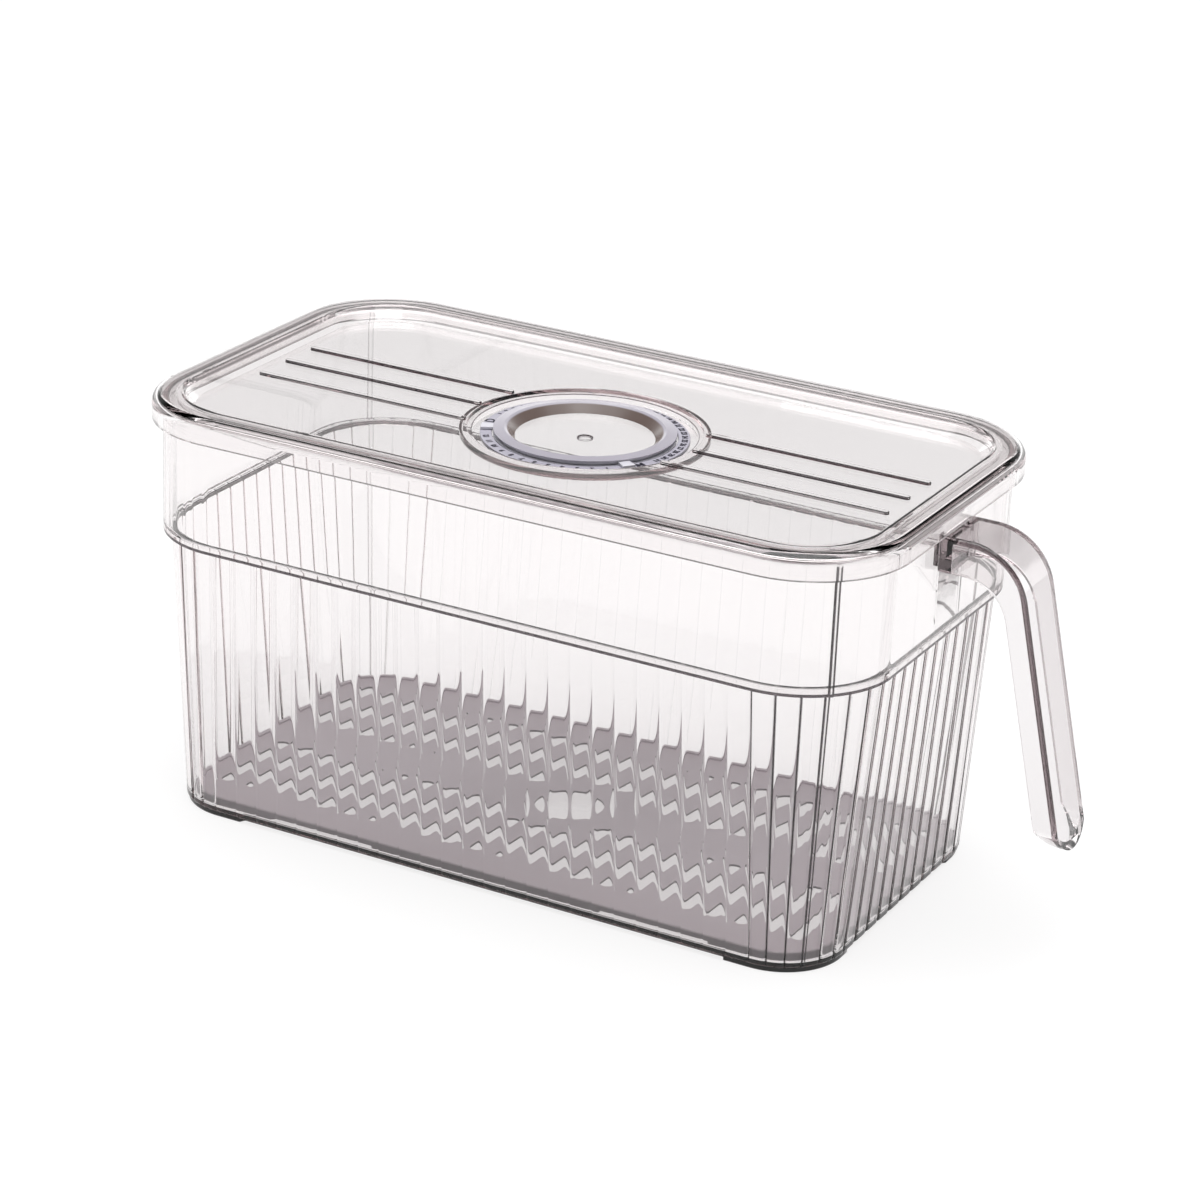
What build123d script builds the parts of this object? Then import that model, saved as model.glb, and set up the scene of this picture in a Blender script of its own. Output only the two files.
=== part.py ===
from build123d import *
import math
import os

# Lidded storage bin for a refrigerator: a reeded clear tub with a drop handle, a lift-off lid
# with a day and month dial, and a slotted drain tray on the floor.
# Units are millimetres. The origin is the centre of the base, on the plane that the bin
# stands on. +X runs along the length towards the handle, +Z is up.

# ---------------------------------------------------------------- driving dimensions
WALL = 2.4

# tub: a narrower reeded lower wall under a plain upper band
BASE_LENGTH, BASE_WIDTH, BASE_CORNER = 273.0, 145.0, 25.0
SHOULDER_LENGTH, SHOULDER_WIDTH, SHOULDER_CORNER = 286.5, 156.5, 34.0
BAND_LENGTH, BAND_WIDTH, BAND_CORNER = 292.0, 162.0, 36.0
BASE_SLAB = 2.4
FLOOR_TOP = 3.0
SHOULDER_HEIGHT = 108.4
LEDGE_TOP = SHOULDER_HEIGHT + WALL
RIM_TOP = 156.6
REBATE_HEIGHT, REBATE_DEPTH = 1.6, 3.0
REBATE_LONG, REBATE_SHORT = 202.0, 84.0
FLOOR_FILLET = 1.4

# reeds: flat panels on the lower wall parted by narrow round grooves; the mould's parting
# line is a fine ridge down two opposite corners, at +X -Y and at -X +Y
GROOVE_DEPTH, GROOVE_HALF = 0.6, 1.1
LONG_REEDS, SHORT_REEDS = 25, 10
CORNER_GROOVE_ANGLES = (15.0, 30.0)
RIDGE_HALF_ANGLE = 2.3
RIDGE_CORNERS = (0, 2)
RIDGE_WIDTH, RIDGE_HEIGHT, RIDGE_ROOT = 2.4, 0.35, 1.2
BASE_ROUND, BAND_ROUND = 0.4, 0.3

# lid: skirt, rounded raised rim, sunk panel
LID_LENGTH, LID_WIDTH, LID_CORNER = 300.0, 170.0, 40.0
LID_WALL = 2.2
LID_TOP = 161.0
SKIRT_BOTTOM = 151.7
PANEL_TOP = 156.0
RIM_ROUND = 4.2
CHANNEL_ROUND = 0.8
RIM_INNER = 11.5
PANEL_INSET = 16.0
LIP_INSET, LIP_WIDTH, LIP_BOTTOM = 9.2, 1.7, 155.2
RIB_Y = (-17.5, 0.0, 17.5)
RIB_END, RIB_WIDTH, RIB_HEIGHT, RIB_ROUND = 129.0, 2.6, 1.1, 0.3

# seal in the lid's channel, over the tub's rim
SEAL_INSET, SEAL_WIDTH, SEAL_BOTTOM = 3.2, 5.6, 156.9

# dial well in the middle of the lid
WELL_OUTER, WELL_INNER, WELL_LEDGE_RADIUS = 45.7, 43.1, 41.2
WELL_LEDGE, WELL_FLOOR_TOP, WELL_BOTTOM = 154.6, 152.4, 150.6
GATE_RADIUS, GATE_DEPTH = 2.6, 0.4

# dial: printed plate, two pointer rings and the collar that keeps them
PLATE_INNER, PLATE_OUTER, PLATE_TOP = 33.8, 38.2, 153.6
RING_INNER, DAY_RING_OUTER, MONTH_RING_OUTER = 30.4, 32.0, 33.3
RISER_INNER = 32.3
RING_THICK, RING_GAP = 0.8, 0.2
MONTH_RING_BOTTOM = WELL_FLOOR_TOP + RING_GAP
DAY_RING_BOTTOM = MONTH_RING_BOTTOM + RING_THICK + RING_GAP
TAB_OUTER, TAB_HALF_ANGLE = 38.0, 3.6
TAB_BOTTOM, TAB_TOP = 153.9, 154.7
DAY_REST_ANGLE, MONTH_REST_ANGLE = -156.0, -36.6
COLLAR_OUTER, COLLAR_FOOT_RADIUS, COLLAR_LIP_RADIUS = 30.1, 25.4, 28.2
COLLAR_TOP = 155.9
FLANGE_OUTER, FLANGE_BOTTOM, FLANGE_EDGE_TOP = 33.4, 154.95, 155.4

# drain tray
TRAY_LENGTH, TRAY_WIDTH, TRAY_CORNER = 264.4, 136.6, 20.5
TRAY_TOP, TRAY_PLATE, TRAY_SKIRT, TRAY_BOTTOM = 6.6, 1.6, 1.8, 3.2
TRAY_LIP_HEIGHT, TRAY_LIP_WIDTH = 0.8, 2.0
FINGER_HOLE_RADIUS = 13.0
SLOT_NEAR_Y, SLOT_FAR_Y, SLOT_WIDTH = 11.0, 53.0, 4.5
SLOT_PITCH, SLOT_COUNT = 10.9, 23
SHORT_SLOT_NEAR_Y = 21.5
NOTCH_CENTRES = (-67.0, 72.0)
NOTCH_LENGTH, NOTCH_HEIGHT = 44.0, 1.2

# handle: a U-section strap that leaves the end wall level and then drops
HANDLE_WIDTH, HANDLE_SKIN = 26.0, 2.6
HANDLE_ROOT_TOP, HANDLE_ROOT_BOTTOM = 150.5, 137.0
HANDLE_TIP = 41.0
HANDLE_LEAN = 12.6
OUTER_BEND, INNER_BEND = 23.0, 17.0
OUTER_LEG_X, INNER_LEG_X, LEG_REFERENCE_Z = 190.5, 181.0, 86.0
HANDLE_END_ROUND = 13.9
HANDLE_EDGE_ROUND = 1.6
HEEL_TOP_Z, HEEL_LOW_Z, HEEL_BULGE = 60.0, 43.0, 3.0
ROOT_BLOCK = 5.0
GUSSET_SIZE, GUSSET_THICK = 8.0, 2.0
TONGUE_HALF_WIDTH, TONGUE_BOTTOM, TONGUE_TOP = 10.0, 139.5, 148.5
SNAP_LIP, SNAP_THICK = 1.5, 1.7

# how far a cutting tool runs past what it cuts
OVERRUN = 5.0


# ---------------------------------------------------------------- helpers
def rounded_block(length, width, corner, bottom, top):
    """A prism with rounded vertical corners between two heights."""
    outline = Plane.XY.offset(bottom) * RectangleRounded(length, width, corner)
    return extrude(outline, top - bottom)


def rounded_taper(lower, upper, bottom, top):
    """A ruled taper between two rounded rectangles, each given as length, width, corner."""
    low = Plane.XY.offset(bottom) * RectangleRounded(*lower)
    high = Plane.XY.offset(top) * RectangleRounded(*upper)
    return loft([low, high], ruled=True)


def inset(length, width, corner, amount):
    """Length, width and corner radius of a rounded rectangle moved inwards."""
    return length - 2 * amount, width - 2 * amount, corner - amount


def disc(radius, bottom, top):
    return Pos(0, 0, bottom) * Cylinder(radius, top - bottom, align=(Align.CENTER, Align.CENTER, Align.MIN))


def tube(outer, inner, bottom, top):
    return disc(outer, bottom, top) - disc(inner, bottom - 1, top + 1)


def block(low, high):
    """A box between two opposite corners."""
    size = [b - a for a, b in zip(low, high)]
    corner = (Align.MIN, Align.MIN, Align.MIN)
    return Pos(*low) * Box(*size, align=corner)


def sector(inner, outer, half_angle, bottom, top):
    """An annular sector centred on +X."""
    reach = outer * 1.5
    half = reach * math.tan(math.radians(half_angle))
    wedge = make_face(Polyline((0, 0), (reach, -half), (reach, half), close=True))
    wedge = extrude(Plane.XY.offset(bottom) * wedge, top - bottom)
    return tube(outer, inner, bottom, top) & wedge


# ---------------------------------------------------------------- tub
def wall_stations(length, width, corner):
    """The breakpoints round one outline of the lower wall, with the rise of each stretch.

    Each entry is (point, outward normal angle, rise of the stretch that starts there). A groove
    is a stretch with a negative rise. The straight sides divide into equal panels. A corner has
    two grooves at each end, and the parting ridge at 45 degrees where the tub has it.
    """
    half_x, half_y = length / 2 - corner, width / 2 - corner
    centres = ((half_x, -half_y), (half_x, half_y), (-half_x, half_y), (-half_x, -half_y))
    counts = (LONG_REEDS, SHORT_REEDS, LONG_REEDS, SHORT_REEDS)
    half_turn = math.degrees(GROOVE_HALF / corner)
    first = [(half_turn, 0.0)]
    for angle in CORNER_GROOVE_ANGLES:
        first += [(angle - half_turn, -GROOVE_DEPTH), (angle + half_turn, 0.0)]
    last = []
    for angle in reversed(CORNER_GROOVE_ANGLES):
        last += [(90 - angle - half_turn, -GROOVE_DEPTH), (90 - angle + half_turn, 0.0)]
    last += [(90 - half_turn, -GROOVE_DEPTH)]
    stations = []
    for side in range(4):
        start, end = centres[side - 1], centres[side]
        side_length = math.dist(start, end)
        along = ((end[0] - start[0]) / side_length, (end[1] - start[1]) / side_length)
        out = (along[1], -along[0])
        normal = math.atan2(out[1], out[0])
        pitch = side_length / counts[side]
        marks = [(GROOVE_HALF, 0.0)]
        for i in range(1, counts[side]):
            marks += [(i * pitch - GROOVE_HALF, -GROOVE_DEPTH), (i * pitch + GROOVE_HALF, 0.0)]
        marks += [(side_length - GROOVE_HALF, -GROOVE_DEPTH)]
        for distance, rise in marks:
            x = start[0] + along[0] * distance + out[0] * corner
            y = start[1] + along[1] * distance + out[1] * corner
            stations.append(((x, y), normal, rise))
        ridge_rise = RIDGE_HEIGHT if side in RIDGE_CORNERS else 0.0
        ridge = [(45 - RIDGE_HALF_ANGLE, ridge_rise), (45 + RIDGE_HALF_ANGLE, 0.0)]
        for angle, rise in first + ridge + last:
            turn = normal + math.radians(angle)
            x = end[0] + corner * math.cos(turn)
            y = end[1] + corner * math.sin(turn)
            stations.append(((x, y), turn, rise))
    return stations


def reeded_outline(length, width, corner, height):
    """A closed outline of panels and shallow grooves, for one end of the lower wall."""
    stations = wall_stations(length, width, corner)
    edges = []
    for here, there in zip(stations, stations[1:] + stations[:1]):
        (x0, y0), a0, rise = here
        (x1, y1), a1, _ = there
        turned = math.remainder(a1 - a0, 2 * math.pi)
        middle = a0 + turned / 2
        rise += corner * (1 - math.cos(turned / 2))
        if abs(rise) < 1e-6:
            edges.append(Line((x0, y0, height), (x1, y1, height)))
            continue
        crest = ((x0 + x1) / 2 + rise * math.cos(middle), (y0 + y1) / 2 + rise * math.sin(middle))
        edges.append(ThreePointArc((x0, y0, height), (*crest, height), (x1, y1, height)))
    return Face(Wire(edges))


def band_ridges():
    """The parting ridge on the plain upper band, at the same two corners."""
    reach = BAND_CORNER + RIDGE_HEIGHT
    low = (BAND_CORNER - RIDGE_ROOT, -RIDGE_WIDTH / 2, SHOULDER_HEIGHT + BAND_ROUND)
    strip = block(low, (reach, RIDGE_WIDTH / 2, RIM_TOP - 1))
    centre = (BAND_LENGTH / 2 - BAND_CORNER, -BAND_WIDTH / 2 + BAND_CORNER, 0)
    ridge = Pos(*centre) * Rot(0, 0, -45) * strip
    return ridge + Rot(0, 0, 180) * ridge


def make_bin_body():
    shoulder = (SHOULDER_LENGTH, SHOULDER_WIDTH, SHOULDER_CORNER)
    band = (BAND_LENGTH, BAND_WIDTH, BAND_CORNER)
    base = (BASE_LENGTH, BASE_WIDTH, BASE_CORNER)
    slab = rounded_block(*inset(*base, GROOVE_DEPTH), 0, BASE_SLAB)
    bottom_edges = slab.edges().group_by(Axis.Z)[0]
    slab = fillet(bottom_edges, BASE_ROUND)
    lower = loft([reeded_outline(*base, BASE_SLAB), reeded_outline(*shoulder, SHOULDER_HEIGHT)],
                 ruled=True)
    upper = rounded_block(*band, SHOULDER_HEIGHT, RIM_TOP)
    upper = fillet(upper.edges().group_by(Axis.Z)[0], BAND_ROUND)
    body = slab + lower + upper + band_ridges()

    base_inner = inset(*base, WALL)
    shoulder_inner = inset(*shoulder, WALL)
    cavity = rounded_taper(base_inner, shoulder_inner, FLOOR_TOP, LEDGE_TOP)
    cavity = fillet(cavity.edges().group_by(Axis.Z)[0], FLOOR_FILLET)
    mouth = rounded_block(*inset(*band, WALL), LEDGE_TOP, RIM_TOP + OVERRUN)
    body = body - cavity - mouth

    edge_x, edge_y = BASE_LENGTH / 2, BASE_WIDTH / 2
    for side in (-1, 1):
        near, far = sorted((side * (edge_y - REBATE_DEPTH), side * (edge_y + OVERRUN)))
        body -= block((-REBATE_LONG / 2, near, -1), (REBATE_LONG / 2, far, REBATE_HEIGHT))
        near, far = sorted((side * (edge_x - REBATE_DEPTH), side * (edge_x + OVERRUN)))
        body -= block((near, -REBATE_SHORT / 2, -1), (far, REBATE_SHORT / 2, REBATE_HEIGHT))

    wall_x = BAND_LENGTH / 2
    window_low = (wall_x - WALL - 1, -TONGUE_HALF_WIDTH, TONGUE_BOTTOM)
    window_high = (wall_x + 1, TONGUE_HALF_WIDTH, TONGUE_TOP)
    return body - block(window_low, window_high)


# ---------------------------------------------------------------- handle
def strap_edge(root_z, bend, leg_x, end_z):
    """One long edge of the strap's side view, from the wall to its end, as three edges."""
    slope = math.tan(math.radians(HANDLE_LEAN))
    turn = math.radians(90 - HANDLE_LEAN)
    bend_end_z = root_z - bend * (1 - math.cos(turn))
    bend_end_x = leg_x + (LEG_REFERENCE_Z - bend_end_z) * slope
    bend_start_x = bend_end_x - bend * math.sin(turn)
    wall = (BAND_LENGTH / 2, root_z)
    start = (bend_start_x, root_z)
    middle = (bend_start_x + bend * math.sin(turn / 2), root_z - bend * (1 - math.cos(turn / 2)))
    finish = (bend_end_x, bend_end_z)
    end = (leg_x + (LEG_REFERENCE_Z - end_z) * slope, end_z)
    return wall, start, middle, finish, end


def side_view(outer, inner):
    """A face in the XZ plane between an outer and an inner strap edge."""
    lines = [
        Line(outer[0], outer[1]), ThreePointArc(outer[1], outer[2], outer[3]), Line(outer[3], outer[4]),
        Line(outer[4], inner[4]),
        Line(inner[4], inner[3]), ThreePointArc(inner[3], inner[2], inner[1]), Line(inner[1], inner[0]),
        Line(inner[0], outer[0]),
    ]
    return make_face([Plane.XZ * line for line in lines])


def end_view(half_width, tip):
    """The strap seen along X: parallel sides and a shallow round tip."""
    drop = HANDLE_END_ROUND - math.sqrt(HANDLE_END_ROUND ** 2 - half_width ** 2)
    side_z = tip + drop
    top = HANDLE_ROOT_TOP + OVERRUN
    lines = [
        Line((-half_width, top), (-half_width, side_z)),
        ThreePointArc((-half_width, side_z), (0, tip), (half_width, side_z)),
        Line((half_width, side_z), (half_width, top)),
        Line((half_width, top), (-half_width, top)),
    ]
    return make_face([Plane.YZ * line for line in lines])


def heel_waste(half_width):
    """What is cut away below the rounded lower ends of the strap's two flanges."""
    slope = math.tan(math.radians(HANDLE_LEAN))
    top = (INNER_LEG_X + (LEG_REFERENCE_Z - HEEL_TOP_Z) * slope, HEEL_TOP_Z)
    low = (OUTER_LEG_X - HANDLE_SKIN + (LEG_REFERENCE_Z - HEEL_LOW_Z) * slope, HEEL_LOW_Z)
    across, down = low[0] - top[0], low[1] - top[1]
    chord = math.hypot(across, down)
    middle = ((top[0] + low[0]) / 2 + down / chord * HEEL_BULGE,
              (top[1] + low[1]) / 2 - across / chord * HEEL_BULGE)
    left, floor = top[0] - 8, HANDLE_TIP - 10
    lines = [
        ThreePointArc(top, middle, low), Line(low, (low[0], floor)),
        Line((low[0], floor), (left, floor)), Line((left, floor), (left, top[1])),
        Line((left, top[1]), top),
    ]
    return extrude(make_face([Plane.XZ * line for line in lines]), half_width, both=True)


def make_handle():
    half = HANDLE_WIDTH / 2
    outer = strap_edge(HANDLE_ROOT_TOP, OUTER_BEND, OUTER_LEG_X, HANDLE_TIP - OVERRUN)
    inner = strap_edge(HANDLE_ROOT_BOTTOM, INNER_BEND, INNER_LEG_X, HANDLE_TIP - OVERRUN)
    strap = extrude(side_view(outer, inner), half, both=True)
    front = Pos(BAND_LENGTH / 2 - OVERRUN, 0, 0) * extrude(end_view(half, HANDLE_TIP), 80)
    strap = strap & front
    outer_face_edges = [
        e for e in strap.edges()
        if abs(abs(e.center().Y) - half) < 0.01 and e.length > HANDLE_EDGE_ROUND * 4
    ]
    strap = fillet(outer_face_edges, HANDLE_EDGE_ROUND)

    pocket_outer = strap_edge(HANDLE_ROOT_TOP - HANDLE_SKIN, OUTER_BEND - HANDLE_SKIN,
                              OUTER_LEG_X - HANDLE_SKIN, HANDLE_TIP - OVERRUN)
    pocket_inner = strap_edge(HANDLE_ROOT_BOTTOM - OVERRUN, INNER_BEND - OVERRUN,
                              INNER_LEG_X - OVERRUN, HANDLE_TIP - OVERRUN)
    pocket_half = half - HANDLE_SKIN
    pocket = extrude(side_view(pocket_outer, pocket_inner), pocket_half, both=True)
    pocket_front = extrude(end_view(pocket_half, HANDLE_TIP + HANDLE_SKIN), 80)
    pocket = pocket & (Pos(BAND_LENGTH / 2 + ROOT_BLOCK, 0, 0) * pocket_front)
    handle = strap - pocket - heel_waste(half + OVERRUN)

    wall_x = BAND_LENGTH / 2
    gusset = make_face(Plane.XZ * Polyline(
        (wall_x, HANDLE_ROOT_BOTTOM), (wall_x + GUSSET_SIZE, HANDLE_ROOT_BOTTOM),
        (wall_x, HANDLE_ROOT_BOTTOM - GUSSET_SIZE), close=True))
    gusset = extrude(gusset, GUSSET_THICK / 2, both=True)
    for side in (-1, 1):
        handle += Pos(0, side * (half - HANDLE_EDGE_ROUND - GUSSET_THICK / 2), 0) * gusset

    inside = wall_x - WALL
    handle += block((inside - SNAP_THICK, -TONGUE_HALF_WIDTH, TONGUE_BOTTOM),
                    (wall_x + 1, TONGUE_HALF_WIDTH, TONGUE_TOP))
    handle += block((inside - SNAP_THICK, -TONGUE_HALF_WIDTH, TONGUE_BOTTOM - SNAP_LIP),
                    (inside, TONGUE_HALF_WIDTH, TONGUE_TOP + SNAP_LIP))
    return handle


# ---------------------------------------------------------------- lid
def make_lid():
    outline = (LID_LENGTH, LID_WIDTH, LID_CORNER)
    shell = rounded_block(*outline, SKIRT_BOTTOM, LID_TOP)
    shell = fillet(shell.edges().group_by(Axis.Z)[-1], RIM_ROUND)
    recess = rounded_taper(inset(*outline, PANEL_INSET), inset(*outline, RIM_INNER), PANEL_TOP, LID_TOP)
    shell -= recess
    crown = [e for e in shell.edges() if abs(e.center().Z - LID_TOP) < 0.01
             and abs(e.center().X) <= LID_LENGTH / 2 - RIM_INNER + 0.1
             and abs(e.center().Y) <= LID_WIDTH / 2 - RIM_INNER + 0.1]
    shell = fillet(crown, 1.2)

    web_bottom = LID_TOP - LID_WALL
    panel_bottom = PANEL_TOP - LID_WALL
    hollow = rounded_block(*inset(*outline, LID_WALL), SKIRT_BOTTOM - 1, web_bottom)
    hollow = fillet(hollow.edges().group_by(Axis.Z)[-1], CHANNEL_ROUND)
    dished = rounded_taper(inset(*outline, PANEL_INSET - 1), inset(*outline, RIM_INNER - 1),
                           panel_bottom, web_bottom)
    lid = shell - (hollow - dished)

    lip_outer = inset(*outline, LIP_INSET)
    lip_inner = inset(*outline, LIP_INSET + LIP_WIDTH)
    lip = rounded_block(*lip_outer, LIP_BOTTOM, web_bottom) - rounded_block(*lip_inner, LIP_BOTTOM - 1, LID_TOP)
    lid += lip

    lid -= disc(WELL_INNER, panel_bottom - 1, LID_TOP)
    well = disc(WELL_OUTER, WELL_BOTTOM, PANEL_TOP)
    well = fillet(well.edges().group_by(Axis.Z)[0], 1.4)
    well -= disc(WELL_INNER, WELL_LEDGE, LID_TOP)
    well -= disc(WELL_LEDGE_RADIUS, WELL_FLOOR_TOP, LID_TOP)
    lid += well
    lid -= disc(GATE_RADIUS, WELL_FLOOR_TOP - GATE_DEPTH, WELL_FLOOR_TOP + 1)

    for y in RIB_Y:
        edge_x = math.sqrt((WELL_INNER + 0.6) ** 2 - y ** 2)
        for side in (-1, 1):
            centre = side * (RIB_END + edge_x) / 2
            length = RIB_END - edge_x
            rib = Pos(centre, y, PANEL_TOP) * SlotOverall(length, RIB_WIDTH)
            rib = extrude(rib, RIB_HEIGHT)
            top = rib.edges().group_by(Axis.Z)[-1]
            lid += fillet(top, RIB_ROUND) - disc(WELL_INNER + 0.6, PANEL_TOP - 1, LID_TOP)
    return lid


def make_lid_seal():
    outline = (LID_LENGTH, LID_WIDTH, LID_CORNER)
    outer = rounded_block(*inset(*outline, SEAL_INSET), SEAL_BOTTOM, LID_TOP - LID_WALL)
    outer = fillet(outer.edges().group_by(Axis.Z)[-1], 0.8)
    inner_size = inset(*outline, SEAL_INSET + SEAL_WIDTH)
    return outer - rounded_block(*inner_size, SEAL_BOTTOM - 1, LID_TOP)


# ---------------------------------------------------------------- dial
def make_dial_plate():
    plate = tube(PLATE_OUTER, PLATE_INNER, WELL_FLOOR_TOP, PLATE_TOP)
    return fillet(plate.edges().filter_by(GeomType.CIRCLE).group_by(Axis.Z)[-1], 0.3)


def make_day_pointer():
    """The upper ring; its block reaches out over the printed plate."""
    ring = tube(DAY_RING_OUTER, RING_INNER, DAY_RING_BOTTOM, DAY_RING_BOTTOM + RING_THICK)
    tab = sector(RING_INNER + 0.6, TAB_OUTER, TAB_HALF_ANGLE, TAB_BOTTOM, TAB_TOP)
    return Rot(0, 0, DAY_REST_ANGLE) * (ring + tab)


def make_month_pointer():
    """The lower, wider ring; its block rises outside the upper ring."""
    ring = tube(MONTH_RING_OUTER, RING_INNER, MONTH_RING_BOTTOM, MONTH_RING_BOTTOM + RING_THICK)
    riser = sector(RISER_INNER, MONTH_RING_OUTER, TAB_HALF_ANGLE, MONTH_RING_BOTTOM, TAB_TOP)
    tab = sector(RISER_INNER, TAB_OUTER, TAB_HALF_ANGLE, TAB_BOTTOM, TAB_TOP)
    return Rot(0, 0, MONTH_REST_ANGLE) * (ring + riser + tab)


def make_dial_cap():
    """The collar inside the pointer rings; its flange keeps them down."""
    half_section = make_face(Plane.XZ * Polyline(
        (COLLAR_FOOT_RADIUS, WELL_FLOOR_TOP), (COLLAR_OUTER, WELL_FLOOR_TOP),
        (COLLAR_OUTER, FLANGE_BOTTOM), (FLANGE_OUTER, FLANGE_BOTTOM),
        (FLANGE_OUTER, FLANGE_EDGE_TOP), (COLLAR_LIP_RADIUS + 1.2, COLLAR_TOP),
        (COLLAR_LIP_RADIUS, COLLAR_TOP - 0.5), close=True))
    return revolve(half_section, Axis.Z)


# ---------------------------------------------------------------- drain tray
def make_drain_tray():
    outline = (TRAY_LENGTH, TRAY_WIDTH, TRAY_CORNER)
    tray = rounded_block(*outline, TRAY_BOTTOM, TRAY_TOP)
    tray = fillet(tray.edges().group_by(Axis.Z)[-1], 0.7)
    tray -= rounded_block(*inset(*outline, TRAY_SKIRT), TRAY_BOTTOM - 1, TRAY_TOP - TRAY_PLATE)
    tray -= rounded_block(*inset(*outline, TRAY_LIP_WIDTH), TRAY_TOP - TRAY_LIP_HEIGHT, TRAY_TOP + 1)
    tray -= disc(FINGER_HOLE_RADIUS, 0, TRAY_TOP + 1)
    for i in range(SLOT_COUNT):
        x = (i - (SLOT_COUNT - 1) / 2) * SLOT_PITCH
        beside_hole = abs(x) < FINGER_HOLE_RADIUS + SLOT_WIDTH / 2
        near = SHORT_SLOT_NEAR_Y if beside_hole else SLOT_NEAR_Y
        for side in (-1, 1):
            centre = side * (near + SLOT_FAR_Y) / 2
            slot = Pos(x, centre, 0) * SlotOverall(SLOT_FAR_Y - near, SLOT_WIDTH, rotation=90)
            tray -= extrude(slot, TRAY_TOP + 1)
    for x in NOTCH_CENTRES:
        low = (x - NOTCH_LENGTH / 2, -TRAY_WIDTH / 2 - 1, TRAY_BOTTOM - 1)
        high = (x + NOTCH_LENGTH / 2, TRAY_WIDTH / 2 + 1, TRAY_BOTTOM + NOTCH_HEIGHT)
        tray -= block(low, high)
    return tray


def main():
    parts = {
        "bin_body": make_bin_body(),
        "handle": make_handle(),
        "lid": make_lid(),
        "lid_seal": make_lid_seal(),
        "dial_plate": make_dial_plate(),
        "day_pointer": make_day_pointer(),
        "month_pointer": make_month_pointer(),
        "dial_cap": make_dial_cap(),
        "drain_tray": make_drain_tray(),
    }
    os.makedirs("parts", exist_ok=True)
    for name, shape in parts.items():
        export_step(shape, os.path.join("parts", f"{name}.step"))
        size = shape.bounding_box().size
        print(f"{name:14s} volume {shape.volume:10.1f} mm3   size {size.X:.1f} x {size.Y:.1f} x {size.Z:.1f}")


main()
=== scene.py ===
"""Looks of the lidded fridge bin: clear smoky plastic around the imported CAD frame."""
import math

import bmesh
import bpy
from mathutils import Matrix, Vector


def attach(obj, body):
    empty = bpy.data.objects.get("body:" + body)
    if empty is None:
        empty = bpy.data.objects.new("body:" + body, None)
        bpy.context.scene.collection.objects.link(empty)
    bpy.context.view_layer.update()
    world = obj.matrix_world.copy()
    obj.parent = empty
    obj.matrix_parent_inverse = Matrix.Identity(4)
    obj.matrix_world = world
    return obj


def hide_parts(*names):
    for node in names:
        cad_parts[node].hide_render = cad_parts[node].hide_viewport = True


MM = 0.001
# Sizes and places are in millimetres, as the frame has them, until they are multiplied by MM.
RIPPLE = 0.02 * MM


# ---------------------------------------------------------------- node helpers
def new_material(name):
    """A material with its Principled shader and its node tree, ready for detail nodes."""
    material = bpy.data.materials.new(name)
    material.use_nodes = True
    tree = material.node_tree
    return material, tree, tree.nodes["Principled BSDF"], tree.nodes["Material Output"]


def add_noise(tree, scale, detail):
    """Noise in the object's own coordinates, which are the frame's metres."""
    place = tree.nodes.new("ShaderNodeTexCoord")
    noise = tree.nodes.new("ShaderNodeTexNoise")
    noise.inputs["Scale"].default_value = scale
    noise.inputs["Detail"].default_value = detail
    tree.links.new(place.outputs["Object"], noise.inputs["Vector"])
    return noise.outputs["Fac"]


def spread(tree, factor, low, high):
    """Maps a 0-1 factor to a range of values."""
    node = tree.nodes.new("ShaderNodeMapRange")
    node.inputs["To Min"].default_value = low
    node.inputs["To Max"].default_value = high
    tree.links.new(factor, node.inputs["Value"])
    return node.outputs["Result"]


def add_ripple(tree, shader, height):
    """Bends the shading slightly by a height pattern, as a moulded skin does."""
    bump = tree.nodes.new("ShaderNodeBump")
    bump.inputs["Distance"].default_value = RIPPLE
    tree.links.new(height, bump.inputs["Height"])
    tree.links.new(bump.outputs["Normal"], shader.inputs["Normal"])


def clear_plastic(name, tint, absorb, density):
    """Clear moulded plastic: smooth and glossy, with the faint ripple of a moulded wall."""
    material, tree, shader, output = new_material(name)
    shader.inputs["Base Color"].default_value = (*tint, 1)
    shader.inputs["Transmission Weight"].default_value = 1.0
    shader.inputs["IOR"].default_value = 1.49
    rough = spread(tree, add_noise(tree, 60, 4), 0.0, 0.02)
    tree.links.new(rough, shader.inputs["Roughness"])
    add_ripple(tree, shader, add_noise(tree, 45, 1.5))
    volume = tree.nodes.new("ShaderNodeVolumeAbsorption")
    volume.inputs["Color"].default_value = (*absorb, 1)
    volume.inputs["Density"].default_value = density
    tree.links.new(volume.outputs["Volume"], output.inputs["Volume"])
    let_lamps_through(tree, shader, output, tint)
    return material


def paint_groove_shade(material, tint, dark):
    """Paints shade into clear plastic: darkens its colour towards the dark tone where the mesh's groove
    attribute rises.
    """
    tree = material.node_tree
    shader = tree.nodes["Principled BSDF"]
    # The groove attribute holds painted shade, not groove depth: where it rises, the tub is drawn dark.
    groove = tree.nodes.new("ShaderNodeAttribute")
    groove.attribute_name = "groove"
    ramp = tree.nodes.new("ShaderNodeValToRGB")
    ramp.color_ramp.elements[0].color = (*tint, 1)
    ramp.color_ramp.elements[1].color = (*dark, 1)
    ramp.color_ramp.elements[0].position = 0.05
    ramp.color_ramp.elements[1].position = 0.6
    tree.links.new(groove.outputs["Fac"], ramp.inputs["Fac"])
    tree.links.new(ramp.outputs["Color"], shader.inputs["Base Color"])


def math_node(tree, operation, first, second=None):
    node = tree.nodes.new("ShaderNodeMath")
    node.operation = operation
    for socket, value in zip(node.inputs, (first, second)):
        if isinstance(value, (int, float)):
            socket.default_value = value
        elif value is not None:
            tree.links.new(value, socket)
    return node.outputs["Value"]


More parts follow.
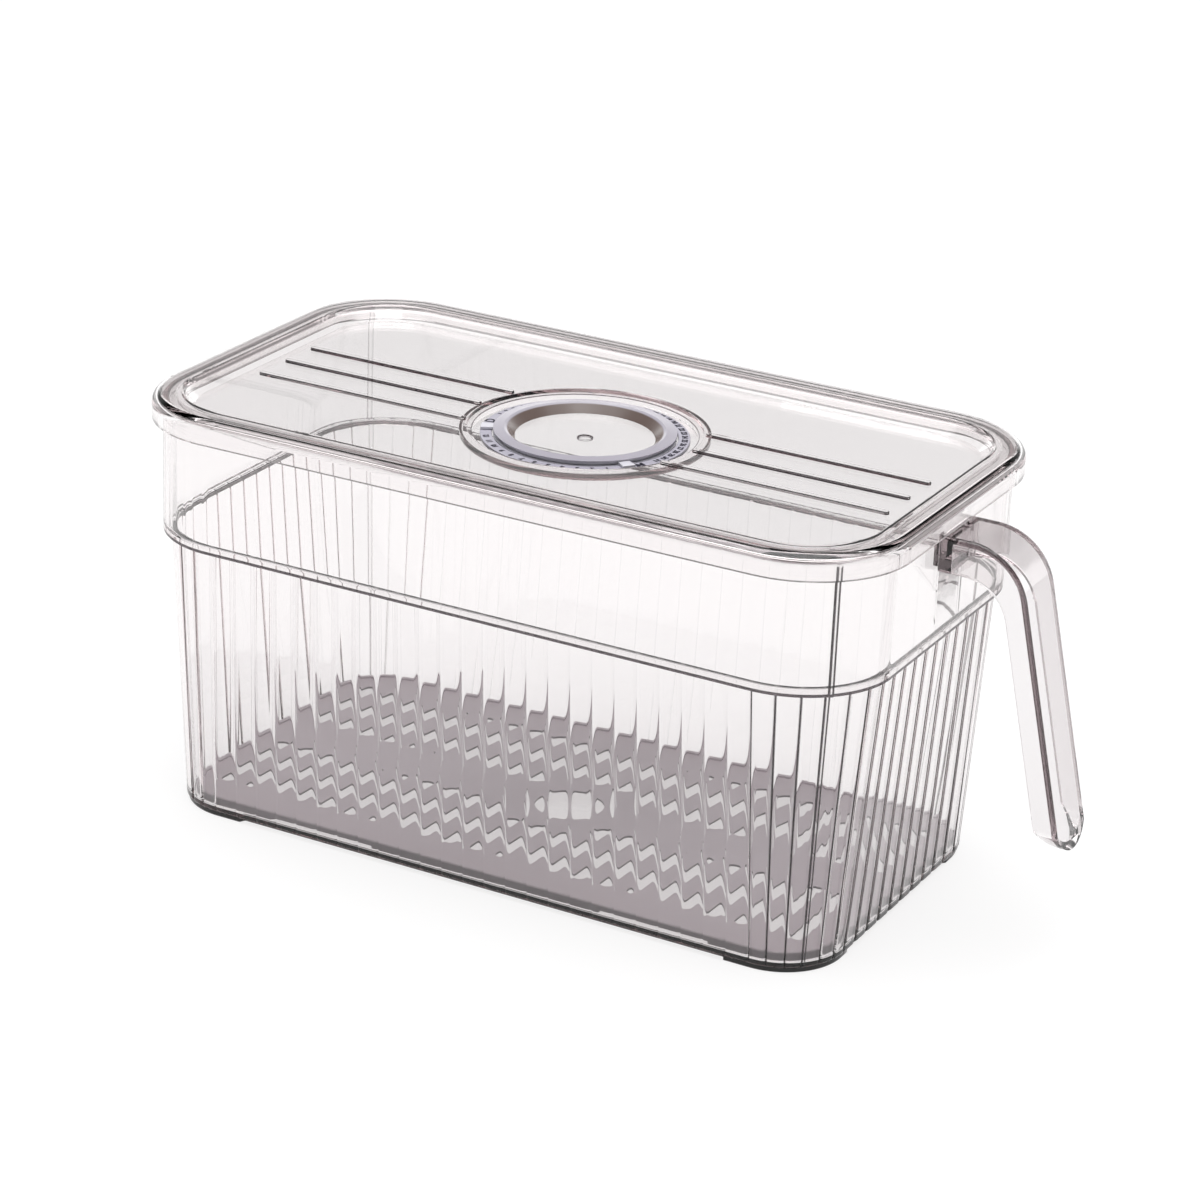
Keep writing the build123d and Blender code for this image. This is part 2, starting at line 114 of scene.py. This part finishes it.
def near(tree, value, target, reach):
    """1 where a value lies within reach of a target, else 0."""
    node = tree.nodes.new("ShaderNodeMath")
    node.operation = "COMPARE"
    tree.links.new(value, node.inputs[0])
    node.inputs[1].default_value = target
    node.inputs[2].default_value = reach
    return node.outputs["Value"]


def place_in_part(tree):
    """The three coordinates of the shaded point and its distance from the upright axis."""
    place = tree.nodes.new("ShaderNodeTexCoord")
    parts = tree.nodes.new("ShaderNodeSeparateXYZ")
    tree.links.new(place.outputs["Object"], parts.inputs["Vector"])
    x, y, z = (parts.outputs[axis] for axis in "XYZ")
    x_squared = math_node(tree, "MULTIPLY", x, x)
    y_squared = math_node(tree, "MULTIPLY", y, y)
    radius = math_node(tree, "SQRT", math_node(tree, "ADD", x_squared, y_squared))
    return x, y, z, radius


def both(tree, first, second):
    return math_node(tree, "MULTIPLY", first, second)


# The lid's ribs, ledge and gate mark; LINE_* are half the widths of the painted shade lines.
RIB_PITCH, RIB_SIDE, RIB_END, RIBS_REACH = 17.5, 1.15, 129.0, 21.875
LINE_PANEL_TOP, WELL_CLEAR = 156.05, 46.0
BED_RADIUS, BED_Z, GATE_RADIUS = 41.0, 154.6, 2.7
LINE_RIB, LINE_BED, LINE_BED_HEIGHT, LINE_GATE = 0.15, 0.4, 0.35, 0.3


def paint_lid_shade(material, tint, dark):
    """Paints shade into the lid's colour: dark lines along its ribs' sides, round the dial's bed and
    round the gate mark.
    """
    tree = material.node_tree
    shader = tree.nodes["Principled BSDF"]
    x, y, z, radius = place_in_part(tree)
    across = math_node(tree, "PINGPONG", y, RIB_PITCH / 2 * MM)
    side = near(tree, across, RIB_SIDE * MM, LINE_RIB * MM)
    between_ribs = both(tree, side, near(tree, y, 0.0, RIBS_REACH * MM))
    outside_dial = math_node(tree, "GREATER_THAN", radius, WELL_CLEAR * MM)
    in_length = both(tree, outside_dial, near(tree, x, 0.0, RIB_END * MM))
    above_panel = math_node(tree, "GREATER_THAN", z, LINE_PANEL_TOP * MM)
    ribs = both(tree, both(tree, between_ribs, in_length), above_panel)
    bed = both(tree, near(tree, radius, BED_RADIUS * MM, LINE_BED * MM),
               near(tree, z, BED_Z * MM, LINE_BED_HEIGHT * MM))
    gate = near(tree, radius, GATE_RADIUS * MM, LINE_GATE * MM)
    painted_shade_mask = math_node(tree, "MAXIMUM", ribs, math_node(tree, "MAXIMUM", bed, gate))
    ramp = tree.nodes.new("ShaderNodeValToRGB")
    ramp.color_ramp.elements[0].color = (*tint, 1)
    ramp.color_ramp.elements[1].color = (*dark, 1)
    tree.links.new(painted_shade_mask, ramp.inputs["Fac"])
    tree.links.new(ramp.outputs["Color"], shader.inputs["Base Color"])


def let_lamps_through(tree, shader, output, tint):
    """Rays from lamps pass straight through the plastic, so its shadow stays faint."""
    path = tree.nodes.new("ShaderNodeLightPath")
    mix = tree.nodes.new("ShaderNodeMixShader")
    straight = tree.nodes.new("ShaderNodeBsdfTransparent")
    straight.inputs["Color"].default_value = (*tint, 1)
    tree.links.new(path.outputs["Is Shadow Ray"], mix.inputs["Fac"])
    tree.links.new(shader.outputs["BSDF"], mix.inputs[1])
    tree.links.new(straight.outputs["BSDF"], mix.inputs[2])
    tree.links.new(mix.outputs["Shader"], output.inputs["Surface"])


def moulded_plastic(name, low, high, roughness, lamp_tint=None):
    """Opaque moulded plastic with a slight cloudiness and a satin skin."""
    material, tree, shader, output = new_material(name)
    if lamp_tint:
        let_lamps_through(tree, shader, output, lamp_tint)
    ramp = tree.nodes.new("ShaderNodeValToRGB")
    ramp.color_ramp.elements[0].color = (*low, 1)
    ramp.color_ramp.elements[1].color = (*high, 1)
    ramp.color_ramp.elements[0].position = 0.3
    ramp.color_ramp.elements[1].position = 0.7
    tree.links.new(add_noise(tree, 40, 5), ramp.inputs["Fac"])
    tree.links.new(ramp.outputs["Color"], shader.inputs["Base Color"])
    rough = spread(tree, add_noise(tree, 300, 3), roughness * 0.85, roughness * 1.15)
    tree.links.new(rough, shader.inputs["Roughness"])
    add_ripple(tree, shader, add_noise(tree, 900, 4))
    return material


# ---------------------------------------------------------------- studio
AIM = Vector((8.85, 0.0, 90.71)) * MM
CAMERA_AZIMUTH, CAMERA_ELEVATION, CAMERA_ROLL = 27.96, 22.17, 0.041
CAMERA_DISTANCE = 1.4068
LENS = 114.97


def make_camera():
    data = bpy.data.cameras.new("camera")
    data.lens = LENS
    data.sensor_width = 36
    camera = bpy.data.objects.new("camera", data)
    bpy.context.scene.collection.objects.link(camera)
    azimuth, elevation = math.radians(CAMERA_AZIMUTH), math.radians(CAMERA_ELEVATION)
    back = Vector((math.sin(azimuth) * math.cos(elevation),
                   -math.cos(azimuth) * math.cos(elevation), math.sin(elevation)))
    camera.location = AIM + back * CAMERA_DISTANCE
    turn = (-back).to_track_quat("-Z", "Y").to_matrix().to_4x4()
    roll = camera.matrix_world.Rotation(CAMERA_ROLL, 4, "Z")
    camera.rotation_euler = (turn @ roll).to_euler()
    bpy.context.scene.camera = camera


def make_world():
    """A white studio dome with a dark ring, so that clear edges have something dark to show."""
    world = bpy.data.worlds.new("studio")
    bpy.context.scene.world = world
    world.use_nodes = True
    tree = world.node_tree
    place = tree.nodes.new("ShaderNodeTexCoord")
    parts = tree.nodes.new("ShaderNodeSeparateXYZ")
    ramp = tree.nodes.new("ShaderNodeValToRGB")
    stops = ramp.color_ramp
    marks = ((0.0, 1.0), (0.20, 1.0), (0.30, 0.25), (0.42, 0.18), (0.50, 0.0), (0.74, 0.0), (0.80, 1.0))
    while len(stops.elements) < len(marks):
        stops.elements.new(0.5)
    for element, (position, grey) in zip(stops.elements, marks):
        element.position = position
        element.color = (grey, grey, grey, 1)
    tree.links.new(place.outputs["Generated"], parts.inputs["Vector"])
    tree.links.new(parts.outputs["Z"], ramp.inputs["Fac"])
    background = tree.nodes["Background"]
    tree.links.new(ramp.outputs["Color"], background.inputs["Color"])
    background.inputs["Strength"].default_value = 1.8


def make_softbox():
    """A large soft light straight above, which lights the floor and what is in the tub."""
    data = bpy.data.lights.new("softbox", "AREA")
    data.shape = "SQUARE"
    data.size = 1.5
    data.energy = 20
    light = bpy.data.objects.new("softbox", data)
    light.location = (0, 0, 1.9)
    bpy.context.scene.collection.objects.link(light)


def make_floor():
    bpy.ops.mesh.primitive_plane_add(size=14, location=(0, 0, -0.0002))
    floor = bpy.context.object
    floor.name = "floor"
    material, tree, shader, _ = new_material("floor_white")
    shader.inputs["Base Color"].default_value = (0.28, 0.28, 0.28, 1)
    shader.inputs["Roughness"].default_value = 0.9
    shader.inputs["Specular IOR Level"].default_value = 0.0
    shader.inputs["Emission Color"].default_value = (1, 1, 1, 1)
    shader.inputs["Emission Strength"].default_value = 0.72
    floor.data.materials.append(material)


def make_settings():
    scene = bpy.context.scene
    scene.view_settings.view_transform = "Standard"
    scene.cycles.max_bounces = 24
    scene.cycles.transmission_bounces = 24
    scene.cycles.transparent_max_bounces = 24
    scene.cycles.glossy_bounces = 12
    scene.cycles.diffuse_bounces = 3
    scene.cycles.caustics_reflective = False
    scene.cycles.caustics_refractive = False
    scene.cycles.use_denoising = True
    scene.cycles.sample_clamp_indirect = 4
    scene.cycles.seed = 3


# ---------------------------------------------------------------- tub
# Outlines are length, width and corner radius, in millimetres, as the frame's tub has them.
BASE = (273.0, 145.0, 25.0)
SHOULDER = (286.5, 156.5, 34.0)
BAND = (292.0, 162.0, 36.0)
WALL = 2.4
SLAB, SHOULDER_Z, FLOOR_Z = 2.4, 108.4, 3.0
LONG_REEDS, SHORT_REEDS = 25, 10
LONG_REED_DEPTH, END_REED_DEPTH, REED_POWER = 0.30, 0.6, 6.5
REED_STEPS = (-1.0, -0.975, -0.945, -0.91, -0.87, -0.82, -0.75, -0.66, -0.5,
              0.0, 0.5, 0.66, 0.75, 0.82, 0.87, 0.91, 0.945, 0.975)
CORNER_REEDS = ((0, 15), (15, 30), (60, 75), (75, 90))
SHOULDER_TURN = 7.5
RIDGE_CORNERS = (0, 2)
RIDGE_SIDE = ((1.15, 0.35), (1.35, 0.32), (1.55, 0.17), (1.75, 0.03), (1.9, 0.0), (2.6, 0.0))
RIDGE_STEPS = [(-turn, height) for turn, height in RIDGE_SIDE] + [(0.0, 0.35)] + list(RIDGE_SIDE)
REBATE_LONG, REBATE_SHORT, REBATE_BLEND = 202.0, 84.0, 0.8
WINDOW_HALF, WINDOW_BOTTOM, WINDOW_TOP = 10.0, 139.5, 148.5


def wall_samples():
    """The columns of the tub's wall, in order round it.

    Each is (side, share along the straight side or None, angle round the corner or None,
    how far across its reed from -1 to 1, height of the parting ridge there).
    """
    samples = []
    for side in range(4):
        count = LONG_REEDS if side % 2 == 0 else SHORT_REEDS
        marks = [((i + (u + 1) / 2) / count, u) for i in range(count) for u in REED_STEPS]
        if side == 1:
            for sign in (-1, 1):
                share = 0.5 + sign * WINDOW_HALF / (BAND[1] - 2 * BAND[2])
                marks.append((share, 2 * (share * count % 1) - 1))
        samples += [(side, share, None, u, 0.0) for share, u in sorted(marks)]
        turns = []
        for low, high in CORNER_REEDS:
            turns += [(low + (high - low) * (u + 1) / 2, u, 0.0) for u in REED_STEPS]
        falling = [u for u in REED_STEPS if u < 0]
        turns += [(30 + SHOULDER_TURN * (u + 1), u, 0.0) for u in falling]
        turns += [(60 - SHOULDER_TURN * (u + 1), -u, 0.0) for u in falling if u > -1]
        turns += [(37.5, 0.0, 0.0), (40.0, 0.0, 0.0), (50.0, 0.0, 0.0), (52.5, 0.0, 0.0)]
        rise = 1.0 if side in RIDGE_CORNERS else 0.0
        turns += [(45 + turn, 0.0, height * rise) for turn, height in RIDGE_STEPS]
        samples += [(side, None, turn, u, ridge) for turn, u, ridge in sorted(turns)]
    return samples


SAMPLES = wall_samples()


def place_on(outline, sample):
    """Point and outward normal of a sample on an outline."""
    length, width, corner = outline
    half_x, half_y = length / 2 - corner, width / 2 - corner
    centres = ((half_x, -half_y), (half_x, half_y), (-half_x, half_y), (-half_x, -half_y))
    side, share, turn, _, _ = sample
    end = Vector(centres[side])
    angle = math.radians(side * 90 - 90 + (turn or 0.0))
    normal = Vector((math.cos(angle), math.sin(angle)))
    if share is not None:
        end = Vector(centres[side - 1]).lerp(end, share)
    return end + normal * corner, normal


def in_rebate(point):
    """1 over the shallow rebate under the base's edge, 0 over the corner feet."""
    on_long_side = abs(point.y) > BASE[1] / 2 - BASE[2] / 2
    half_span = REBATE_LONG / 2 if on_long_side else REBATE_SHORT / 2
    reach = abs(point.x) if on_long_side else abs(point.y)
    return min(1.0, max(0.0, (half_span - reach) / REBATE_BLEND + 0.5))


def ring(outline, z, inset=0.0, reeds=0.0, ridge=0.0, rebate=None):
    """One level of the tub's skin; rebate is (inset, z) where the base has its rebate."""
    points = []
    for sample in SAMPLES:
        point, normal = place_on(outline, sample)
        along = sample[1] is not None and sample[0] % 2 == 0
        depth = LONG_REED_DEPTH if along else END_REED_DEPTH
        groove = depth * abs(sample[3]) ** REED_POWER * reeds
        out = sample[4] * ridge - groove - inset
        level = z
        if rebate:
            share = in_rebate(point)
            out = out * (1 - share) - rebate[0] * share
            level = z * (1 - share) + rebate[1] * share
        point = point + normal * out
        points.append((point.x * MM, point.y * MM, level * MM))
    return points


def between(low, high, share):
    return tuple(a + (b - a) * share for a, b in zip(low, high))


def skin(name, rings, material):
    """A closed smooth mesh from rings of equal length, capped at both ends."""
    count = len(rings[0])
    vertices = [point for level in rings for point in level]
    faces = [tuple(range(count))[::-1]]
    for level in range(len(rings) - 1):
        low, high = level * count, (level + 1) * count
        for i in range(count):
            j = (i + 1) % count
            faces.append((low + i, low + j, high + j, high + i))
    faces.append(tuple(range((len(rings) - 1) * count, len(rings) * count)))
    mesh = bpy.data.meshes.new(name)
    mesh.from_pydata(vertices, [], faces)
    mesh.polygons.foreach_set("use_smooth", [True] * len(mesh.polygons))
    mesh.update()
    piece = bpy.data.objects.new(name, mesh)
    bpy.context.scene.collection.objects.link(piece)
    mesh.materials.append(material)
    return piece


def round_over(steps):
    """Sine and cosine pairs through a quarter round."""
    for i in range(steps + 1):
        angle = math.radians(90 * i / steps)
        yield math.sin(angle), math.cos(angle)


def tub_rings():
    """The tub's skin, from under the base, up the outside, over the rim and down to the floor."""
    rings = [ring(BASE, 0, 4.5, rebate=(6.0, 0)), ring(BASE, 0, 4.0, rebate=(5.5, 0)),
             ring(BASE, 0, 1.2, rebate=(3.6, 0)), ring(BASE, 0.04, 0.95, rebate=(3.1, 0.04)),
             ring(BASE, 0.15, 0.85, rebate=(3.0, 0.15)), ring(BASE, 0.5, 0.8, rebate=(3.0, 1.3)),
             ring(BASE, 0.9, 0.8, rebate=(2.95, 1.55)), ring(BASE, 1.1, 0.8, rebate=(2.7, 1.6)),
             ring(BASE, 1.4, 0.8, rebate=(1.2, 1.6)), ring(BASE, 1.6, 0.8, rebate=(0.9, 1.62)),
             ring(BASE, 1.8, 0.8, rebate=(0.8, 1.8)), ring(BASE, 2.3, 0.8),
             ring(BASE, 2.4, reeds=1, ridge=1), ring(BASE, 2.7, reeds=1, ridge=1)]
    lower_height = SHOULDER_Z - SLAB
    for z in (3.6, 60.0, 106.8, 107.6):
        rings.append(ring(between(BASE, SHOULDER, (z - SLAB) / lower_height), z, reeds=1, ridge=1))
    rings.append(ring(SHOULDER, 108.15, reeds=1, ridge=1))
    rings.append(ring(SHOULDER, SHOULDER_Z, inset=-0.3, ridge=1))
    rings.append(ring(BAND, SHOULDER_Z, inset=0.5, ridge=1))
    for rise, fall in round_over(3):
        rings.append(ring(BAND, 108.55 - 0.15 * fall, inset=0.15 * (1 - rise), ridge=1))
    for z in (109.35, 109.75, WINDOW_BOTTOM, WINDOW_TOP, 155.4):
        rings.append(ring(BAND, z, ridge=1))
    for rise, fall in round_over(3):
        rings.append(ring(BAND, 156.0 + 0.6 * rise, inset=0.6 * (1 - fall)))
    for rise, fall in round_over(3):
        rings.append(ring(BAND, 156.0 + 0.6 * fall, inset=WALL - 0.6 * (1 - rise)))
    for z in (155.4, WINDOW_TOP, WINDOW_BOTTOM, 112.0):
        rings.append(ring(BAND, z, inset=WALL))
    for rise, fall in round_over(3):
        rings.append(ring(BAND, 111.4 - 0.6 * rise, inset=WALL + 0.6 * (1 - fall)))
    for rise, fall in round_over(4):
        rings.append(ring(SHOULDER, 110.0 + 0.8 * fall, inset=WALL - 0.8 * (1 - rise)))
    for z in (109.2, 60.0, 5.2):
        rings.append(ring(between(BASE, SHOULDER, (z - SLAB) / lower_height), z, inset=WALL))
    for rise, fall in round_over(5):
        rings.append(ring(BASE, 4.4 - 1.4 * rise, inset=WALL + 1.4 * (1 - fall)))
    rings += [ring(BASE, FLOOR_Z, inset=WALL + 2.0), ring(BASE, FLOOR_Z, inset=WALL + 2.6)]
    return rings


def open_window(tub, rings):
    """Cuts the handle's opening through the end wall and lines it."""
    count = len(rings[0])
    edge = WINDOW_HALF * MM
    band_ring = next(r for r in rings if abs(r[0][2] - WINDOW_BOTTOM * MM) < 1e-9)
    columns = [i for i, sample in enumerate(SAMPLES) if sample[0] == 1 and sample[1] is not None
               and abs(band_ring[i][1]) < edge + 1e-7]
    first, last = columns[0], columns[-1]
    levels = [k for k, r in enumerate(rings)
              if min(abs(r[0][2] - z * MM) for z in (WINDOW_BOTTOM, WINDOW_TOP)) < 1e-9]
    outer_low, outer_high, inner_high, inner_low = levels
    mesh = tub.data
    hole = {(level * count + i) for level in (outer_low, inner_high) for i in range(first, last)}
    faces = []
    for polygon in mesh.polygons:
        corners = tuple(polygon.vertices)
        if len(corners) == 4 and corners[0] in hole and corners[1] == corners[0] + 1:
            continue
        faces.append(corners)
    for i in range(first, last):
        faces.append((outer_low * count + i, outer_low * count + i + 1,
                      inner_low * count + i + 1, inner_low * count + i))
        faces.append((outer_high * count + i + 1, outer_high * count + i,
                      inner_high * count + i, inner_high * count + i + 1))
    faces.append((outer_high * count + first, outer_low * count + first,
                  inner_low * count + first, inner_high * count + first))
    faces.append((outer_low * count + last, outer_high * count + last,
                  inner_high * count + last, inner_low * count + last))
    vertices = [tuple(v.co) for v in mesh.vertices]
    material = mesh.materials[0]
    mesh.clear_geometry()
    mesh.from_pydata(vertices, [], faces)
    mesh.materials.append(material)
    smooth = [len(p.vertices) == 4 for p in mesh.polygons]
    mesh.polygons.foreach_set("use_smooth", smooth)
    lining = 2 * (last - first) + 2
    for polygon in list(mesh.polygons)[-lining:]:
        polygon.use_smooth = False
    mesh.update()


def eased_copy(name, node, body, material, gap):
    """A copy of a CAD node with every face moved inwards by a small gap, so that clear pieces
    which touch in the CAD have a film of air between them."""
    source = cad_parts[node]
    mesh = source.data.copy()
    sums = {}
    for vertex, normal in zip(mesh.vertices, mesh.vertex_normals):
        key = tuple(round(c * 1e7) for c in vertex.co)
        found = sums.setdefault(key, [])
        if all(normal.vector.dot(n) < 0.999 for n in found):
            found.append(normal.vector.copy())
    for vertex in mesh.vertices:
        normals = sums[tuple(round(c * 1e7) for c in vertex.co)]
        total = sum(normals, Vector())
        reach = max(0.35, min(1.0, total.length / len(normals)))
        vertex.co -= total.normalized() * (gap / reach)
    piece = bpy.data.objects.new(name, mesh)
    bpy.context.scene.collection.objects.link(piece)
    paint(piece, material)
    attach(piece, body)
    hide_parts(node)
    return piece


# Painted shade: lines drawn dark on the tub, where real clear plastic traps light and shows dark;
# heights are low and high.
HANDLE_CORNER = 0
RIDGE_DARK_FROM, RIDGE_DARK_TO = 1.1, 1.8
FAR_RIDGE_SHARE, FAR_GROOVE_SHARE, GROOVE_START = 0.25, 0.1, 0.84
DARK_FOOT, DARK_BAND_EDGE = (0.1, 1.7), (108.45, 109.5)
REEDS_SPAN, INNER_FROM = (2.0, 108.3), 155.6


def ridge_painted_shade(sample):
    """How much painted shade the sides of the parting ridge get; the far one is drawn fainter."""
    side, _, turn, _, _ = sample
    if turn is None or side not in RIDGE_CORNERS or not RIDGE_DARK_FROM < abs(turn - 45) < RIDGE_DARK_TO:
        return 0.0
    return 1.0 if side == HANDLE_CORNER else FAR_RIDGE_SHARE


def groove_painted_shade(sample):
    """How much painted shade a column of the lower wall gets; the far end is drawn fainter."""
    side, share, turn, across, _ = sample
    if ridge_painted_shade(sample):
        return ridge_painted_shade(sample)
    if share is not None and side % 2 == 0:
        return 0.0
    handle_end = side == 1 or (side == HANDLE_CORNER and turn is not None)
    depth = max(0.0, (abs(across) - GROOVE_START) / (1 - GROOVE_START))
    return depth * (1.0 if handle_end else FAR_GROOVE_SHARE)


def store_painted_shade(mesh):
    """Stores painted shade in the groove attribute: end grooves, ridge sides, the band's lower edge and
    the foot are drawn dark.
    """
    groove_shades = [groove_painted_shade(sample) for sample in SAMPLES]
    ridge_shades = [ridge_painted_shade(sample) for sample in SAMPLES]
    values = []
    outside = True
    for place, vertex in enumerate(mesh.vertices):
        column = place % len(SAMPLES)
        height = vertex.co.z / MM
        outside = outside and height < INNER_FROM
        if not outside:
            values.append(0.0)
        elif DARK_FOOT[0] < height < DARK_FOOT[1] or DARK_BAND_EDGE[0] < height < DARK_BAND_EDGE[1]:
            values.append(1.0)
        elif REEDS_SPAN[0] < height < REEDS_SPAN[1]:
            values.append(groove_shades[column])
        else:
            values.append(ridge_shades[column] if height > DARK_BAND_EDGE[1] else 0.0)
    # Painted shade, stored under the name groove for the shell's material.
    attribute = mesh.attributes.new("groove", "FLOAT", "POINT")
    attribute.data.foreach_set("value", values)


def make_tub(material):
    rings = tub_rings()
    tub = skin("tub_shell", rings, material)
    open_window(tub, rings)
    store_painted_shade(tub.data)
    weighted = tub.modifiers.new("flat faces keep their normals", "WEIGHTED_NORMAL")
    weighted.mode = "FACE_AREA"
    weighted.weight = 50
    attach(tub, "tub")
    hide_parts("bin_body")
    return tub


# ---------------------------------------------------------------- dial print
PRINT_Z, PRINT_THICK, PRINT_BOLD = 153.6, 0.05, 0.14
NUMBER_SIZE, LETTER_SIZE = 2.9, 5.0
DAY_LETTER_ANGLE, MONTH_LETTER_ANGLE = 191.3, -28.5
DAY_FIRST, DAY_LAST = 178.0, -16.0
MONTH_FIRST, MONTH_LAST = -48.6, -141.6
DIAL_RADIUS = 36.1


def stamp(text, angle, size, builder):
    """Adds one printed mark to a mesh builder; its foot points at the dial's centre."""
    curve = bpy.data.curves.new("mark", "FONT")
    curve.body = text
    curve.size = size * MM
    curve.extrude = PRINT_THICK / 2 * MM
    curve.offset = PRINT_BOLD * MM
    curve.align_x = "CENTER"
    curve.align_y = "CENTER"
    curve.resolution_u = 3
    holder = bpy.data.objects.new("mark", curve)
    bpy.context.scene.collection.objects.link(holder)
    mesh = bpy.data.meshes.new_from_object(holder)
    bpy.data.objects.remove(holder)
    turn = Matrix.Rotation(math.radians(angle - 90), 4, "Z")
    away = Vector((math.cos(math.radians(angle)), math.sin(math.radians(angle)), 0)) * DIAL_RADIUS * MM
    lift = Vector((0, 0, (PRINT_Z + PRINT_THICK) * MM))
    mesh.transform(Matrix.Translation(away + lift) @ turn)
    builder.from_mesh(mesh)
    bpy.data.meshes.remove(mesh)


def make_print(name, marks, size, material):
    """One printed set of marks, given as (text, angle) pairs."""
    builder = bmesh.new()
    for text, angle in marks:
        stamp(text, angle, size, builder)
    mesh = bpy.data.meshes.new(name)
    builder.to_mesh(mesh)
    builder.free()
    piece = bpy.data.objects.new(name, mesh)
    bpy.context.scene.collection.objects.link(piece)
    paint(piece, material)
    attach(piece, "lid_set")
    return piece


def numbered(count, first, last):
    step = (last - first) / (count - 1)
    return [(str(i + 1), first + step * i) for i in range(count)]


def make_prints(material):
    make_print("day_numbers", numbered(31, DAY_FIRST, DAY_LAST), NUMBER_SIZE, material)
    make_print("month_numbers", numbered(12, MONTH_FIRST, MONTH_LAST), NUMBER_SIZE, material)
    make_print("day_letter", [("D", DAY_LETTER_ANGLE)], LETTER_SIZE, material)
    make_print("month_letter", [("M", MONTH_LETTER_ANGLE)], LETTER_SIZE, material)


def shade_inside_lip(material, lip_radius):
    """Paints shade into the collar's colour: brown-grey inside its lip, as thick smoky plastic looks
    where light crosses much of it.
    """
    tree = material.node_tree
    shader = tree.nodes["Principled BSDF"]
    outer_colour = shader.inputs["Base Color"].links[0].from_socket
    radius = place_in_part(tree)[3]
    fall = tree.nodes.new("ShaderNodeMapRange")
    fall.inputs["From Min"].default_value = (lip_radius - 0.1) * MM
    fall.inputs["From Max"].default_value = (lip_radius + 0.5) * MM
    tree.links.new(radius, fall.inputs["Value"])
    mix = tree.nodes.new("ShaderNodeMix")
    mix.data_type = "RGBA"
    tree.links.new(fall.outputs["Result"], mix.inputs["Factor"])
    mix.inputs["A"].default_value = (*COLLAR_SHADE_BROWN, 1)
    tree.links.new(outer_colour, mix.inputs["B"])
    tree.links.new(mix.outputs["Result"], shader.inputs["Base Color"])


# ---------------------------------------------------------------- build
def paint(node, material):
    node.data.materials.clear()
    node.data.materials.append(material)


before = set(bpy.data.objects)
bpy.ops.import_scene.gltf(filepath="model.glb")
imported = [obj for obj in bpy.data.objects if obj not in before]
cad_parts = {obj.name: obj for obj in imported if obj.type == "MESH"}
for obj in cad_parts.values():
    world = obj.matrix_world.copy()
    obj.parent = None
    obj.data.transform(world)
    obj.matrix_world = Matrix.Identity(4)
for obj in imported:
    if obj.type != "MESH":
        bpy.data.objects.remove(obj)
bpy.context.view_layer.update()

make_settings()
make_camera()
make_world()
make_softbox()
make_floor()

HANDLE_FILM, SEAL_FILM = 0.04 * MM, 0.05 * MM
COLLAR_LIP_RADIUS, COLLAR_SHADE_BROWN = 28.2, (0.14, 0.105, 0.095)
SMOKE_TINT = (0.985, 0.98, 0.98)
SMOKE_ABSORB = (0.60, 0.47, 0.48)
shell = clear_plastic("clear_shell", SMOKE_TINT, SMOKE_ABSORB, 32.0)
lid_clear = clear_plastic("clear_lid", SMOKE_TINT, SMOKE_ABSORB, 32.0)
handle_clear = clear_plastic("clear_handle", SMOKE_TINT, (0.53, 0.455, 0.47), 110.0)
seal_soft = clear_plastic("seal", (0.93, 0.90, 0.90), (0.5, 0.3, 0.3), 6.0)
tray_grey = moulded_plastic("tray_grey", (0.67, 0.60, 0.64), (0.70, 0.63, 0.67), 0.35,
                            lamp_tint=(0.85, 0.82, 0.83))
dial_grey = moulded_plastic("dial_grey", (0.40, 0.385, 0.45), (0.44, 0.425, 0.49), 0.3)
pointer_grey = moulded_plastic("dial_pointer", (0.58, 0.57, 0.62), (0.62, 0.61, 0.66), 0.3)
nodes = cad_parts
# Painted shade: dark lines on the tub's end grooves, ridge sides, band edge and foot.
paint_groove_shade(shell, SMOKE_TINT, (0.008, 0.006, 0.007))
# Painted shade: dark lines on the lid's rib sides, round the dial's bed and round the gate mark.
paint_lid_shade(lid_clear, SMOKE_TINT, (0.05, 0.04, 0.045))
make_tub(shell)
eased_copy("handle_strap", "handle", "tub", handle_clear, HANDLE_FILM)
paint(nodes["lid"], lid_clear)
eased_copy("seal_ring", "lid_seal", "lid_set", seal_soft, SEAL_FILM)
paint(nodes["dial_plate"], dial_grey)
paint(nodes["day_pointer"], pointer_grey)
paint(nodes["month_pointer"], pointer_grey)
cap_grey = moulded_plastic("dial_cap", (0.37, 0.35, 0.40), (0.41, 0.39, 0.44), 0.22)
# Painted shade: the collar's inside, within its lip, is drawn dark brown-grey.
shade_inside_lip(cap_grey, COLLAR_LIP_RADIUS)
eased_copy("dial_collar", "dial_cap", "lid_set", cap_grey, SEAL_FILM)
ink = moulded_plastic("dial_ink", (0.012, 0.010, 0.022), (0.018, 0.014, 0.03), 0.6)
make_prints(ink)
paint(nodes["drain_tray"], tray_grey)
